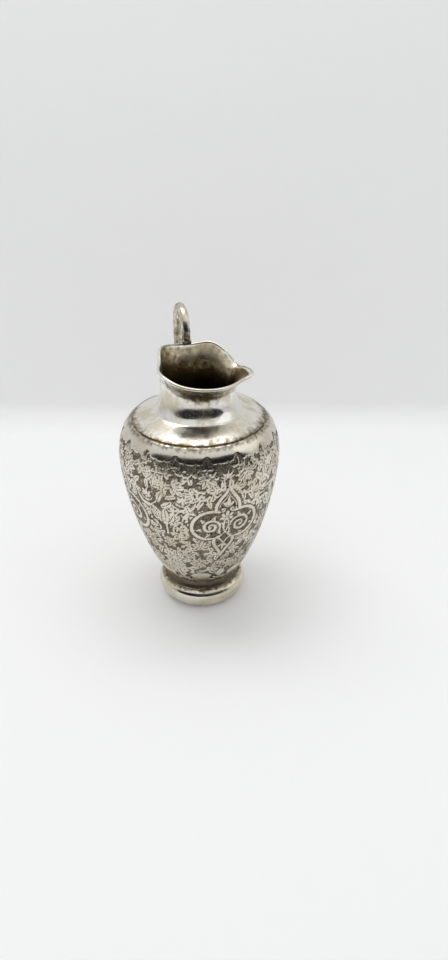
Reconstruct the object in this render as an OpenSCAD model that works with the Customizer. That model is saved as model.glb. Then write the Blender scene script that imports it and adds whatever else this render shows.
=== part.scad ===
// Small silver cream jug: a raised and chased ovoid body on a rolled foot ring,
// a domed shoulder drawn in to a short neck with a flared, waved mouth and a
// pouring lip, and a round-rod loop handle soldered from the rim to the shoulder.
// Millimetres. +Z is up, the origin is the centre of the foot's resting plane,
// and +X runs through the pouring lip.

/* [Body] */
// Largest diameter of the body
belly_d = 56; // [54:0.5:58]
// Height of the largest diameter above the table
belly_z = 60; // [58:0.5:61]
// Radius of the waist, where the body is drawn in above the foot
waist_r = 13.2; // [12.8:0.1:13.6]
// Height of the waist above the table
waist_z = 11.4; // [11.2:0.1:11.8]
// Slant of the wall as it leaves the waist, in degrees from upright
waist_slant = 45; // [40:1:48]
// Thickness of the silver sheet
sheet = 0.8; // [0.6:0.1:1]

/* [Shoulder and neck] */
// Radius of the seam where the shoulder sits on the body
seam_r = 22.7; // [22:0.1:23.2]
// Height of the seam above the table
seam_z = 73.2; // [72.5:0.1:74]
// Radius of the neck at its narrowest
neck_r = 12.6; // [12:0.1:13]
// Height where the neck starts to flare into the mouth
neck_z = 83.4; // [83:0.1:84]

/* [Mouth] */
// Radius of the mouth at its flared sides
mouth_r = 15.9; // [15.2:0.1:16.5]
// Mean height of the rim above the table
rim_z = 90.9; // [90:0.1:92]
// Rise and fall of the rim about its mean height
rim_tilt = 2.3; // [0:0.1:2.6]
// Direction in which the rim stands highest, in degrees from the lip
rim_high_at = 140; // [120:5:160]
// Reach of the pouring lip beyond the mouth's radius
lip_reach = 2.3; // [1.5:0.1:3]
// Half spread of the pouring lip, in degrees
lip_spread = 13; // [11:1:16]
// Inset of the mouth's straight back, opposite the lip
back_inset = 2.9; // [1.5:0.1:3]
// Half spread of the straight back, in degrees
back_spread = 33; // [24:1:36]

/* [Foot] */
// Largest diameter of the foot ring
foot_d = 32.8; // [31.5:0.1:34]
// Height of the foot ring
foot_h = 8.6; // [8.2:0.1:8.8]

/* [Handle] */
// Diameter of the handle's round rod
rod_d = 3.3; // [2.8:0.1:3.6]
// Direction of the handle, in degrees from the lip
handle_at = 112; // [100:1:125]
// Distance from the jug's axis to the handle's inner leg
leg_r = 15.9; // [15.7:0.1:16.1]
// Radius of the arch over the top of the handle
arch_r = 7; // [6.5:0.1:7.2]
// Height of the arch's centre above the table
arch_z = 97; // [96.5:0.5:99]
// Radius of the long bend that carries the outer leg in to the shoulder
sweep_r = 66; // [64:1:70]

/* [Hidden] */

silver = "#c9c5ba";
dark_silver = "#8d887c";
solder = "#b3a578";
$fn = 96;

belly_r = belly_d / 2;
foot_r = foot_d / 2;
rod_r = rod_d / 2;

// Body
body_top = seam_z;             // the body's top edge, under the shoulder
ledge = 0.6;                   // width of the body's edge left proud of the shoulder
collar_r = 14.1;               // the body's lower edge, on the foot ring
collar_h = 0.5;                // upright part of that edge
collar_w = 1.2;                // width of its seat on the foot ring
floor_z = 10;                  // underside of the body's closed floor
floor_t = 0.8;                 // thickness of that floor
waist_pull = 10.6;             // how far the wall runs straight out of the waist
belly_pull = 13.1;             // how far it runs upright below the belly
crown_pull = 6.4;              // and above the belly
top_lean = [1.6, 2.1];         // slope of the wall just below its top edge

// Shoulder, neck and mouth
skirt = 0.6;                   // upright edge of the shoulder at the seam
dome_lean = [4.5, 3];          // slope of the dome just above that edge
neck_foot_h = 3.4;             // height over the seam where the dome turns up
neck_top_h = 9.2;              // height over the seam where the neck is straight
flare_low = 0.45;              // share of the mouth's height that stays upright
flare_high = 0.72;             // share of it at which the flare opens
mouth_columns = 80;            // columns of the shoulder and neck mesh
rim_bead_r = 0.55;             // radius of the thickened edge round the mouth
// Local rises of the rim: [direction from the lip, half spread, rise]
rim_waves = [[38, 16, -2.6], [80, 17, 1.7], [158, 22, 1.5], [232, 20, 0.8]];

// Foot
foot_bulge_z = 3.1;            // height of the foot ring's largest diameter
foot_tread = 3;                // inset of the resting edge from that diameter
foot_edge_w = 0.8;             // width of the resting edge

// Handle and solder
outer_leg_r = leg_r + 2 * arch_r;
arch_step = 7.5;               // turn of the arch between two rings of its mesh
sweep_angle = 24;              // turn of the outer leg's long bend
sweep_step = 2;                // turn of that bend between two rings
rod_sides = 18;                // facets round the handle's rod
landing_r = 24.7;              // where the outer leg's centre line meets the body
landing_z = 71.9;
landing_blob_r = 2.6;          // radius of the solder round that joint
seat_h = 1.4;                  // height of the block between the rim and the handle
seat_w = 2.8;                  // width of the block, across the rim
seat_blob_r = 1.4;             // radius of the solder outside the block
fillet_w = 0.5;                // width of a solder fillet along a seam
fillet_h = 0.45;               // height of it

// Point on a cubic curve with end points and handles p
function curve_point(p, t) =
    pow(1 - t, 3) * p[0] + 3 * pow(1 - t, 2) * t * p[1]
    + 3 * (1 - t) * t * t * p[2] + pow(t, 3) * p[3];

// n + 1 points along that curve
function curve(p, n) = [for (i = [0:n]) curve_point(p, i / n)];

// The same list without its first point
function tail(path) = [for (i = [1:len(path) - 1]) path[i]];

function reversed(path) = [for (i = [len(path) - 1:-1:0]) path[i]];

// Unit direction of a path at point i
function heading(path, i) =
    let (d = path[min(i + 1, len(path) - 1)] - path[max(i - 1, 0)]) d / norm(d);

// A path moved sideways by d, to the left of its own direction
function moved(path, d) =
    [for (i = [0:len(path) - 1]) let (h = heading(path, i)) path[i] + d * [-h[1], h[0]]];

// Smallest difference between two directions, in degrees
function apart(a, b) = abs(((a - b) % 360 + 540) % 360 - 180);

// A smooth bump, 1 at its centre
function bump(angle, centre, spread) = exp(-pow(apart(angle, centre) / spread, 2));

// Radius and height of the rim in a direction from the lip
function rim_radius(a) =
    mouth_r + lip_reach * bump(a, 0, lip_spread) - back_inset * bump(a, 188, back_spread);
function rim_height(a) =
    rim_z + rim_tilt * cos(a - rim_high_at)
    + [for (w = rim_waves) w[2] * bump(a, w[0], w[1])] * [1, 1, 1, 1];

seat_top = rim_height(handle_at) + rim_bead_r + seat_h;

// Outside of the body wall, from the waist up to the shoulder's ledge
wall_low = curve([[waist_r, waist_z],
                  [waist_r, waist_z] + waist_pull * [sin(waist_slant), cos(waist_slant)],
                  [belly_r, belly_z - belly_pull], [belly_r, belly_z]], 26);
wall_high = curve([[belly_r, belly_z], [belly_r, belly_z + crown_pull],
                   [belly_r, body_top] - top_lean, [seam_r + ledge, body_top]], 14);
cove = curve([[collar_r, foot_h + collar_h], [collar_r - 0.6, foot_h + 2 * collar_h],
              [waist_r, waist_z - 1], [waist_r, waist_z]], 6);
body_wall = concat(cove, tail(wall_low), tail(wall_high));

// Outside of the shoulder, from its upright edge up to the neck
shoulder_line = curve([[seam_r, seam_z + skirt],
                       [seam_r - dome_lean[0], seam_z + skirt + dome_lean[1]],
                       [neck_r, seam_z + neck_foot_h], [neck_r, seam_z + neck_top_h]], 12);

// Outside of the mouth in direction a, from the neck up to the rim
function mouth_line(a) =
    let (dr = rim_radius(a) - neck_r, dz = rim_height(a) - neck_z)
    curve([[neck_r, neck_z], [neck_r, neck_z + flare_low * dz],
           [neck_r + flare_low * dr, neck_z + flare_high * dz], [neck_r + dr, neck_z + dz]], 8);

// Closed section of the shoulder and neck in direction a: up the outside,
// round the thickened rim, and down the inside
function neck_section(a) =
    let (outer = concat([[seam_r, seam_z]], shoulder_line, mouth_line(a)),
         inner = moved(outer, sheet),
         last = len(outer) - 1,
         middle = (outer[last] + inner[last]) / 2,
         h = heading(outer, last),
         side = [h[1], -h[0]])
    concat(outer,
           [for (t = [35, 90, 145]) middle + rim_bead_r * (cos(t) * side + sin(t) * h)],
           reversed([for (i = [2:last]) inner[i]]),
           [[seam_r - sheet, seam_z + skirt], [seam_r - sheet, seam_z]]);

module body_vessel() {
    inside = [for (p = moved(concat(wall_low, tail(wall_high)), sheet))
              if (p[1] < body_top - sheet / 2) p];
    rim_in = seam_r - sheet - 0.2;
    color(silver)
    rotate_extrude()
        polygon(concat(
            [[0, floor_z], [collar_r - collar_w, floor_z], [collar_r - collar_w, foot_h],
             [collar_r, foot_h]],
            body_wall,
            [[rim_in, body_top]],
            reversed(inside),
            [[waist_r - 2, floor_z + floor_t], [0, floor_z + floor_t]]));
}

module shoulder_and_neck() {
    sections = [for (i = [0:mouth_columns - 1]) neck_section(i * 360 / mouth_columns)];
    count = len(sections[0]);
    color(silver)
    polyhedron(
        points = [for (i = [0:mouth_columns - 1]) let (a = i * 360 / mouth_columns)
                  for (p = sections[i]) [p[0] * cos(a), p[0] * sin(a), p[1]]],
        faces = [for (i = [0:mouth_columns - 1]) for (j = [0:count - 1])
                 let (n = (i + 1) % mouth_columns, k = (j + 1) % count,
                      a = i * count + j, b = n * count + j, c = n * count + k, d = i * count + k)
                 for (f = [[a, b, c], [a, c, d]]) [f[2], f[1], f[0]]]);
}

module foot_ring() {
    tread_r = foot_r - foot_tread;
    outside = curve([[collar_r + fillet_w + 0.1, foot_h], [collar_r + 0.9, foot_h - 2.2],
                     [foot_r - 0.2, foot_h - 2.4], [foot_r, foot_bulge_z]], 12);
    underside = curve([[foot_r, foot_bulge_z], [foot_r, 1.2],
                       [tread_r + 1.2, 0.2], [tread_r, 0]], 8);
    color(silver)
    rotate_extrude()
        polygon(concat(outside, tail(underside),
                       [[tread_r - foot_edge_w, 0], [tread_r - foot_edge_w - 0.2, 0.7],
                        [foot_r - 2.9, foot_bulge_z + 0.3],
                        [collar_r - collar_w, foot_h - 2], [collar_r - collar_w, foot_h]]));
}

// Centre line of the handle, in its own upright plane: up the inner leg, over
// the arch, and down the outer leg's long bend
rod_line = concat(
    [[leg_r, seat_top]],
    [for (t = [0:arch_step:180]) [leg_r + arch_r - arch_r * cos(t), arch_z + arch_r * sin(t)]],
    [for (t = [sweep_step:sweep_step:sweep_angle])
     [outer_leg_r - sweep_r * (1 - cos(t)), arch_z - sweep_r * sin(t)]]);

// The handle's rod along that line, with its plane along +X
module rod() {
    rings = len(rod_line);
    polyhedron(
        points = [for (i = [0:rings - 1]) let (h = heading(rod_line, i))
                  for (k = [0:rod_sides - 1]) let (a = k * 360 / rod_sides)
                  [rod_line[i][0] - rod_r * cos(a) * h[1], rod_r * sin(a),
                   rod_line[i][1] + rod_r * cos(a) * h[0]]],
        faces = concat(
            [[for (k = [rod_sides - 1:-1:0]) k],
             [for (k = [0:rod_sides - 1]) (rings - 1) * rod_sides + k]],
            [for (i = [0:rings - 2]) for (k = [0:rod_sides - 1])
             let (n = (k + 1) % rod_sides, a = i * rod_sides)
             for (f = [[a + k, a + n, a + n + rod_sides], [a + k, a + n + rod_sides, a + k + rod_sides]])
             f]));
}

// Solid outline of the body, used to fit pieces against its outside
module body_outline() {
    rotate_extrude() polygon(concat([[0, foot_h]], body_wall, [[0, body_top]]));
}

module handle() {
    color(silver)
    difference() {
        rotate([0, 0, handle_at]) rod();
        body_outline();
    }
}

// Block that the handle's inner leg stands on, itself on the rim
module handle_rim_seat() {
    color(dark_silver)
    rotate([0, 0, handle_at])
        translate([leg_r - seat_w / 2, -rod_r, seat_top - seat_h]) cube([seat_w, rod_d, seat_h]);
}

module rim_seat_solder() {
    color(solder)
    difference() {
        rotate([0, 0, handle_at])
            translate([leg_r + seat_w / 2, 0, seat_top - seat_h]) sphere(seat_blob_r);
        shoulder_and_neck();
        handle_rim_seat();
    }
}

module handle_shoulder_solder() {
    color(solder)
    difference() {
        rotate([0, 0, handle_at])
            translate([landing_r, 0, landing_z]) sphere(landing_blob_r);
        body_outline($fn = 360);
        rotate([0, 0, handle_at]) rod();
        cylinder(r = seam_r + ledge, h = seam_z * 2, $fn = 360);
    }
}

// Ring of solder in the corner between a level edge and an upright one
module seam_fillet(r, z) {
    color(solder)
    rotate_extrude() polygon([[r, z], [r + fillet_w, z], [r, z + fillet_h]]);
}

module shoulder_seam_solder() {
    seam_fillet(seam_r, seam_z);
}

module foot_seam_solder() {
    seam_fillet(collar_r, foot_h);
}

body_vessel();
shoulder_and_neck();
foot_ring();
handle();
handle_rim_seat();
rim_seat_solder();
handle_shoulder_solder();
shoulder_seam_solder();
foot_seam_solder();
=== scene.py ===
import logging
import math
from dataclasses import dataclass, field
from enum import Enum
from functools import partial
from typing import Any

import bpy
import numpy as np
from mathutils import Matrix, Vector


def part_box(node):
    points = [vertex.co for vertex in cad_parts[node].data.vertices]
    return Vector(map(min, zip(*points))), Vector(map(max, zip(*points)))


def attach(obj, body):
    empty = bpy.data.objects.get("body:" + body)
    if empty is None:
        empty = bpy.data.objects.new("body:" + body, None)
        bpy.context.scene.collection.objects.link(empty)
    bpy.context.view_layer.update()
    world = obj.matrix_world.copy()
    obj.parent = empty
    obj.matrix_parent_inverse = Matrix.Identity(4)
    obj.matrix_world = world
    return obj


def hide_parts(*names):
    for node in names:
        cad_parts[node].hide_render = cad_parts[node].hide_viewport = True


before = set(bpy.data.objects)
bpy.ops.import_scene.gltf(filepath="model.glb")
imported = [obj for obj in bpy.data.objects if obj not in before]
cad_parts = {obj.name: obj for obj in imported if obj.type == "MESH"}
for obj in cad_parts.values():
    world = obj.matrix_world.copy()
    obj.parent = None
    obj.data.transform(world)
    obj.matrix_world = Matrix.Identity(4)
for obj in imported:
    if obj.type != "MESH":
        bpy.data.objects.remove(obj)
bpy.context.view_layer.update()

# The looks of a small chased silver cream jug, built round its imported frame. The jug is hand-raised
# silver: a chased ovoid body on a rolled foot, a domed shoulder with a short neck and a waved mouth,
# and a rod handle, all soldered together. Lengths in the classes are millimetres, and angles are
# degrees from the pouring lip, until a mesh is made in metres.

LOG = logging.getLogger("cream_jug")
MM = 0.001
SEED = 1871

# Settings that many of the shader nodes share.
EASED = {"interpolation_type": "SMOOTHSTEP"}
MULTIPLY_ADD = {"operation": "MULTIPLY_ADD"}
COLOURS = {"data_type": "RGBA"}


# ---------------------------------------------------------------- curves and small sums


def bezier(points: list, count: int) -> np.ndarray:
    """Points along a cubic curve.

    Args:
        points: The two ends and the two handles between them, in order.
        count: The number of steps along the curve.

    Returns:
        An array of count + 1 points.
    """
    t = np.linspace(0.0, 1.0, count + 1)[:, None]
    a, b, c, d = (np.asarray(p, float) for p in points)
    return (1 - t) ** 3 * a + 3 * (1 - t) ** 2 * t * b + 3 * (1 - t) * t * t * c + t**3 * d


def headings(path: np.ndarray) -> np.ndarray:
    """Unit directions along a path, one for each of its points.

    Args:
        path: The points of the path.

    Returns:
        The directions.
    """
    step = np.empty_like(path)
    step[1:-1] = path[2:] - path[:-2]
    step[0] = path[1] - path[0]
    step[-1] = path[-1] - path[-2]
    return step / np.linalg.norm(step, axis=1)[:, None]


def moved_left(path: np.ndarray, distance: np.ndarray | float) -> np.ndarray:
    """A flat path moved sideways, to the left of its own direction."""
    way = headings(path)
    return path + np.stack([-way[:, 1], way[:, 0]], 1) * np.reshape(distance, (-1, 1))


def arc_lengths(path: np.ndarray) -> np.ndarray:
    """The distance along a path at each of its points."""
    return np.concatenate([[0.0], np.cumsum(np.linalg.norm(np.diff(path, axis=0), axis=1))])


def evenly_spaced(path: np.ndarray, count: int) -> np.ndarray:
    """A path read again at even distances.

    Args:
        path: The points of a flat path.
        count: How many points to return.

    Returns:
        The new points, the first and last of them unchanged.
    """
    length = arc_lengths(path)
    at = np.linspace(0.0, length[-1], count)
    return np.stack([np.interp(at, length, path[:, k]) for k in range(2)], 1)


def apart(angle: np.ndarray | float, centre: float) -> np.ndarray:
    """Signed difference from centre to angle, in degrees, from -180 to 180."""
    return (np.asarray(angle) - centre + 180.0) % 360.0 - 180.0


def bump(angle: np.ndarray | float, centre: float, spread: float) -> np.ndarray:
    """A smooth bump round the jug, 1 at its centre direction."""
    return np.exp(-((apart(angle, centre) / spread) ** 2))


def hill(value: np.ndarray | float, centre: float, width: float) -> np.ndarray | float:
    """A smooth hill along a length, 1 at its centre."""
    return np.exp(-(((value - centre) / width) ** 2))


def unit(degrees: np.ndarray) -> np.ndarray:
    """Flat unit vectors in the given directions."""
    return np.stack([np.cos(np.radians(degrees)), np.sin(np.radians(degrees))], 1)


def directions(count: int) -> np.ndarray:
    """Even directions round the jug from the lip, in degrees."""
    return np.linspace(0, 360, count, endpoint=False)


def smooth(value: np.ndarray | float, low: float, high: float) -> np.ndarray:
    """0 below low, 1 above high and a smooth step between."""
    t = np.clip((value - low) / (high - low), 0.0, 1.0)
    return t * t * (3 - 2 * t)


def linear(hex_colour: str) -> tuple[float, float, float, float]:
    """The linear colour of an sRGB hex value such as "#c9c5ba".

    Args:
        hex_colour: The sRGB value.

    Returns:
        Red, green, blue and alpha.
    """
    parts = [int(hex_colour[i : i + 2], 16) / 255 for i in (1, 3, 5)]
    out = [c / 12.92 if c <= 0.04045 else ((c + 0.055) / 1.055) ** 2.4 for c in parts]
    return (out[0], out[1], out[2], 1.0)


# ---------------------------------------------------------------- sizes taken from the frame


@dataclass(frozen=True)
class JugSizes:
    """The jug's driving sizes in millimetres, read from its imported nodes."""

    belly_r: float
    seam_r: float
    seam_z: float
    foot_r: float
    foot_h: float
    seat_top: float
    rod_top: float
    handle_at: float

    @classmethod
    def from_frame(cls) -> "JugSizes":
        """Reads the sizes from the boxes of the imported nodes.

        Returns:
            The sizes.
        """
        body_high, foot_high, handle_high = (
            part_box(node)[1] for node in ("body_vessel", "foot_ring", "handle")
        )
        neck_low, neck_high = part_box("shoulder_and_neck")
        seat_low, seat_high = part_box("handle_rim_seat")
        seat = (seat_low + seat_high) / 2
        return cls(
            belly_r=body_high.x / MM,
            seam_r=neck_high.x / MM,
            seam_z=neck_low.z / MM,
            foot_r=foot_high.x / MM,
            foot_h=foot_high.z / MM,
            seat_top=seat_high.z / MM,
            rod_top=handle_high.z / MM,
            handle_at=math.degrees(math.atan2(seat.y, seat.x)),
        )

    def handle_plane(self) -> tuple[np.ndarray, np.ndarray]:
        """The level directions from the jug's axis to its handle, and across that.

        Returns:
            The two unit vectors.
        """
        turn = math.radians(self.handle_at)
        c, s = math.cos(turn), math.sin(turn)
        return np.array([c, s, 0]), np.array([-s, c, 0])


# ---------------------------------------------------------------- meshes made of rings


class RingMesh:
    """A mesh stacked from rings of points, with named values at its points."""

    def __init__(self) -> None:
        """Starts with no points."""
        self.points: list[np.ndarray] = []
        self.values: dict[str, list[np.ndarray]] = {}
        self.faces: list[tuple[int, ...]] = []
        self.count = 0

    def ring(self, points: np.ndarray, **values: np.ndarray | float) -> tuple[int, int]:
        """Adds one ring of points.

        Args:
            points: The ring's points in millimetres, anticlockwise seen from above.
            values: Named values, one number for the ring or one for each point.

        Returns:
            The index of the ring's first point, and how many points it has.
        """
        size = len(points)
        self.points.append(points)
        for name in ("chasing", "film", "tarnish", "pits"):
            value = np.broadcast_to(np.asarray(values.get(name, 0.0), float), size)
            self.values.setdefault(name, []).append(value)
        start = self.count
        self.count += size
        return start, size

    def join(self, low: tuple[int, int], high: tuple[int, int]) -> None:
        """Joins two rings with faces that look outwards when low is below high.

        Args:
            low: The first ring, as ring() returned it.
            high: The second ring, whose size divides the first's, or is divided by it.
        """
        (a, n), (b, m) = low, high
        size = max(n, m)
        for i in range(size):
            j = (i + 1) % size
            p, q = a + i * n // size, a + j * n // size
            r, s = b + j * m // size, b + i * m // size
            corners = [p, q, r, s]
            face = [c for k, c in enumerate(corners) if c != corners[k - 1]]
            if len(face) > 2:
                self.faces.append(tuple(face))

    def stack(self, rings: list[tuple[int, int]], closed: bool = False) -> None:
        """Joins each ring of a list to the next, and the last to the first if closed.

        Args:
            rings: The rings, as ring() returned them.
            closed: Whether the last is joined to the first.
        """
        for low, high in zip(rings, rings[1:]):
            self.join(low, high)
        if closed:
            self.join(rings[-1], rings[0])

    def cap(self, ring: tuple[int, int], upward: bool) -> None:
        """Closes a ring with one flat face, looking up or down.

        Args:
            ring: The ring, as ring() returned it.
            upward: Whether the face looks up.
        """
        start, size = ring
        indices = range(start, start + size)
        self.faces.append(tuple(indices if upward else reversed(indices)))

    def solid(self, rings: list[tuple[int, int]]) -> None:
        """Joins rings from the lowest up and closes both ends.

        Args:
            rings: The rings, as ring() returned them.
        """
        self.stack(rings)
        self.cap(rings[0], False)
        self.cap(rings[-1], True)

    def build(self, name: str, crease: float = 50.0) -> bpy.types.Object:
        """Makes the Blender object, in metres.

        Args:
            name: The object's name.
            crease: Edges sharper than this many degrees are kept sharp.

        Returns:
            The object, linked to the scene.
        """
        mesh = bpy.data.meshes.new(name)
        mesh.from_pydata((np.concatenate(self.points) * MM).tolist(), [], self.faces)
        mesh.validate()
        for key, parts in self.values.items():
            layer = mesh.attributes.new(key, "FLOAT", "POINT")
            layer.data.foreach_set("value", np.concatenate(parts).astype(np.float32))
        mesh.shade_smooth()
        mesh.set_sharp_from_angle(angle=math.radians(crease))
        mesh.update()
        made = bpy.data.objects.new(name, mesh)
        bpy.context.scene.collection.objects.link(made)
        return made


def lathe_ring(radius: np.ndarray | float, height: np.ndarray | float, count: int) -> np.ndarray:
    """A ring of points round the jug's axis.

    Args:
        radius: The radius, one number or one for each point.
        height: The height, one number or one for each point.
        count: How many points the ring has.

    Returns:
        The points, starting at the lip.
    """
    angle = np.linspace(0.0, 2 * np.pi, count, endpoint=False)
    out = np.empty((count, 3))
    out[:, 0] = radius * np.cos(angle)
    out[:, 1] = radius * np.sin(angle)
    out[:, 2] = height
    return out


def ripple(angle: np.ndarray, height: np.ndarray | float, depth: float, seed: int) -> np.ndarray:
    """The slight unevenness that a hammer leaves in raised sheet.

    Args:
        angle: Directions round the jug, in degrees.
        height: Heights above the table, in millimetres.
        depth: The greatest depth of the unevenness, in millimetres.
        seed: Chooses the pattern.

    Returns:
        Depths below the true surface, from 0 to depth.
    """
    rng = np.random.default_rng(seed)
    total = np.zeros(np.broadcast(angle, height).shape)
    for _ in range(7):
        turns = rng.integers(2, 15)
        rise = rng.uniform(-0.5, 0.5)
        total += np.sin(np.radians(angle) * turns + height * rise + rng.uniform(0, 6.3))
    return depth * (0.5 + total / 14.0)


# ---------------------------------------------------------------- finishes


def add_node(
    tree: bpy.types.NodeTree, kind: str, inputs: dict | tuple = (), out: int | str = 0, **settings: Any
) -> Any:
    """Adds one shader node with its settings, values and links.

    Args:
        tree: The node tree.
        kind: The node's type name, without "ShaderNode".
        inputs: Values, or outputs to link from: in the order of the sockets, or by name or number.
        out: The name or number of the output to return.
        settings: Properties of the node.

    Returns:
        The output, or None from a node that has none.
    """
    node = tree.nodes.new("ShaderNode" + kind)
    for key, value in settings.items():
        setattr(node, key, value)
    for key, value in inputs.items() if isinstance(inputs, dict) else enumerate(inputs):
        if isinstance(value, bpy.types.NodeSocket):
            tree.links.new(value, node.inputs[key])
        else:
            node.inputs[key].default_value = value
    return node.outputs[out] if node.outputs else None


def bare_tree(owner: Any) -> bpy.types.NodeTree:
    """Switches on a material's or world's nodes and clears them.

    Args:
        owner: The material or world.

    Returns:
        Its empty node tree.
    """
    owner.use_nodes = True
    owner.node_tree.nodes.clear()
    return owner.node_tree


@dataclass(frozen=True)
class SilverFinish:
    """Wrought silver: a mirror where it is rubbed, filmed and brown where no hand reaches.

    Colours are of the clean metal, of the thin warm film that dulls it and of thick tarnish. The
    tarnish colour and value also carry painted shade and painted dark reflection on some pieces.
    The pattern sizes are in millimetres.
    """

    name: str
    silver: str = "#ebe8e1"
    film: str = "#d8d0bd"
    tarnish: str = "#655539"
    pit: str = "#16120d"
    roughness: float = 0.14
    dull_roughness: float = 0.34
    # Film lies in clouds as wide as a finger's wipe, and tarnish breaks up in millimetre patches.
    film_size: float = 9.0
    film_share: float = 0.5
    tarnish_size: float = 1.1
    # Real pits are finer than this, about 0.1 mm. They are drawn coarser so that they show.
    pit_size: float = 0.35
    # A planishing hammer leaves flats a few millimetres wide.
    dent_size: float = 3.2
    dent_depth: float = 0.018
    # Real polishing scratches lie hundredths of a millimetre apart. They are drawn far coarser so
    # that they show.
    scratch_gap: float = 0.35
    scratch_depth: float = 0.004
    scratch_stretch: tuple = (0.25, 0.25, 1.6)

    def ground(
        self, tree: bpy.types.NodeTree, point: Any, colour: Any, rough: Any, height: Any
    ) -> tuple[Any, Any, Any]:
        """The pattern that a finish adds under the tarnish: none here."""
        return colour, rough, height

    def material(self) -> bpy.types.Material:
        """Makes the material, with its patterns in the jug's own frame.

        Returns:
            The material.
        """
        made = bpy.data.materials.new(self.name)
        tree = bare_tree(made)
        add = partial(add_node, tree)
        place = add("TexCoord", out="Object")
        point = add("VectorMath", (place, (1 / MM,) * 3), operation="MULTIPLY")
        # The tarnish value: real tarnish, plus painted shade and painted dark reflection on some pieces.
        tarnished = add("Attribute", out="Fac", attribute_name="tarnish")
        pitted = add("Attribute", out="Fac", attribute_name="pits")

        # The film, in clouds, and how dull it is.
        cloud = add("TexNoise", {"Vector": point, "Scale": 1 / self.film_size, "Detail": 5.0}, "Fac")
        thick = add("Attribute", out="Fac", attribute_name="film")
        filmed = add("MapRange", (cloud, 0.42, 0.66, 0.0, self.film_share), **EASED)
        filmed = add("Math", (thick, 1.0, filmed), **MULTIPLY_ADD)
        colour = add("Mix", {0: filmed, 6: linear(self.silver), 7: linear(self.film)}, 2, **COLOURS)
        rough = add("MapRange", (cloud, 0.35, 0.7, self.roughness, self.dull_roughness), **EASED)
        rough = add("Math", (thick, 0.08, rough), **MULTIPLY_ADD)

        # Hammer flats and polishing scratches.
        dents = add("TexNoise", {"Vector": point, "Scale": 1 / self.dent_size, "Detail": 1.0}, "Fac")
        streaked = add("VectorMath", (point, self.scratch_stretch), operation="MULTIPLY")
        lines = {"Vector": streaked, "Scale": 1 / self.scratch_gap, "Detail": 2.0}
        scratches = add("TexNoise", lines, "Fac")
        height = add("Math", (dents, self.dent_depth, 0.0), **MULTIPLY_ADD)
        height = add("Math", (scratches, self.scratch_depth, height), **MULTIPLY_ADD)
        colour, rough, height = self.ground(tree, point, colour, rough, height)

        # Tarnish, and the painted shade and dark reflection that share its value, broken up by its own
        # grain.
        grain = add("TexNoise", {"Vector": point, "Scale": 1 / self.tarnish_size, "Detail": 6.0}, "Fac")
        lowered = add("Math", (-0.5, 0.9, tarnished), **MULTIPLY_ADD)
        broken = add("Math", (grain, 0.9, lowered), **MULTIPLY_ADD)
        stained = add("MapRange", (broken, 0.25, 0.75, 0.0, 1.0), **EASED)
        colour = add("Mix", {0: stained, 6: colour, 7: linear(self.tarnish)}, 2, **COLOURS)
        rough = add("Math", (stained, 0.16, rough), **MULTIPLY_ADD)

        # Dark pits.
        specks = add("TexNoise", {"Vector": point, "Scale": 1 / self.pit_size, "Detail": 2.0}, "Fac")
        holes = add("Math", (pitted, 0.34, specks), **MULTIPLY_ADD)
        holes = add("MapRange", (holes, 0.78, 0.9, 0.0, 1.0), **EASED)
        colour = add("Mix", {0: holes, 6: colour, 7: linear(self.pit)}, 2, **COLOURS)
        height = add("Math", (holes, -0.05, height), **MULTIPLY_ADD)

        normal = add("Bump", {"Height": height, "Distance": MM, "Strength": 1.0}, "Normal")
        surface = {"Base Color": colour, "Roughness": rough, "Normal": normal, "Metallic": 1.0}
        add("OutputMaterial", {"Surface": add("BsdfPrincipled", surface)})
        return made


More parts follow.
